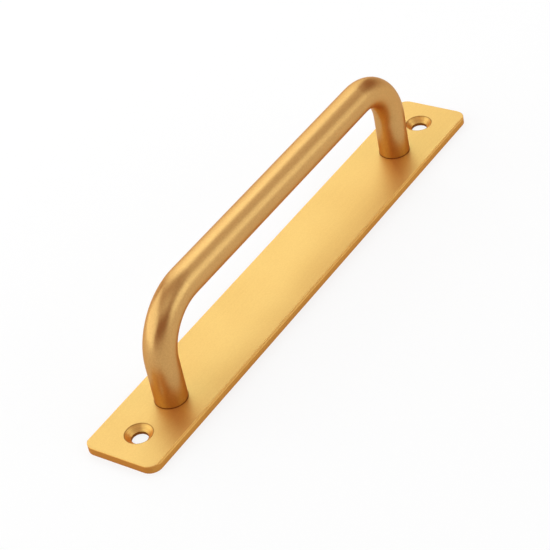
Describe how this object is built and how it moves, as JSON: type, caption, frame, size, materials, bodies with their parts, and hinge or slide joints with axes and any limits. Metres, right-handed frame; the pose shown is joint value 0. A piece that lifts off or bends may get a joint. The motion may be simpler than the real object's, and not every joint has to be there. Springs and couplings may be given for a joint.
{
  "type": "sliding door pull handle",
  "caption": "Pull handle for a sliding door: round bar bent to a D, screwed from behind to a flat back plate with countersunk fixing holes, satin gold anodised aluminium.",
  "frame": {"origin": "middle of the plate's back face, which lies on the door", "axes": "+X along the plate from one fixing hole to the other, +Y across the plate, +Z away from the door towards the hand"},
  "size_m": [0.22, 0.0306, 0.0456],
  "materials": {
    "plate_aluminium": "satin gold anodised, fine bead blast",
    "bar_aluminium": "satin gold anodised, fine bead blast",
    "screw_steel": "bright zinc plated"
  },
  "bodies": {
    "root": {"back_plate": "plate_aluminium", "pull_bar": "bar_aluminium", "bar_screw_left": "screw_steel", "bar_screw_right": "screw_steel"}
  },
  "joints": []
}
